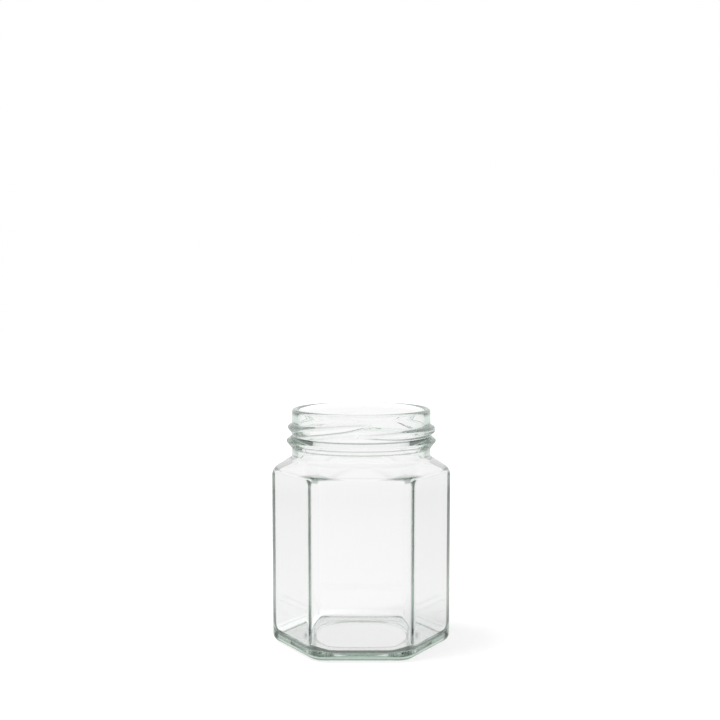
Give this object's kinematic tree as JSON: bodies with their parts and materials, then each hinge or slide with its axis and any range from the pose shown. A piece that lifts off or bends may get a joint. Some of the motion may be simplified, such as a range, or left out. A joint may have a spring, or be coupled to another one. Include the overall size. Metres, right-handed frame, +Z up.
{
  "type": "hexagonal glass jar",
  "caption": "Empty open glass jar: hexagonal body with rounded corners, sloping shoulder, round neck with a bead, thread ribs and a rounded rim, thick base.",
  "frame": {"origin": "middle of the underside, on the surface that the jar stands on", "axes": "+Z up along the jar's axis; one flat panel faces -Y, and two of the six corners lie on the X axis"},
  "size_m": [0.0684, 0.0612, 0.0897],
  "materials": {
    "clear_glass": "clear pressed glass, fire polished, with a faint green tint that shows where it is thick"
  },
  "bodies": {
    "root": {"glass_jar": "clear_glass"}
  },
  "joints": []
}
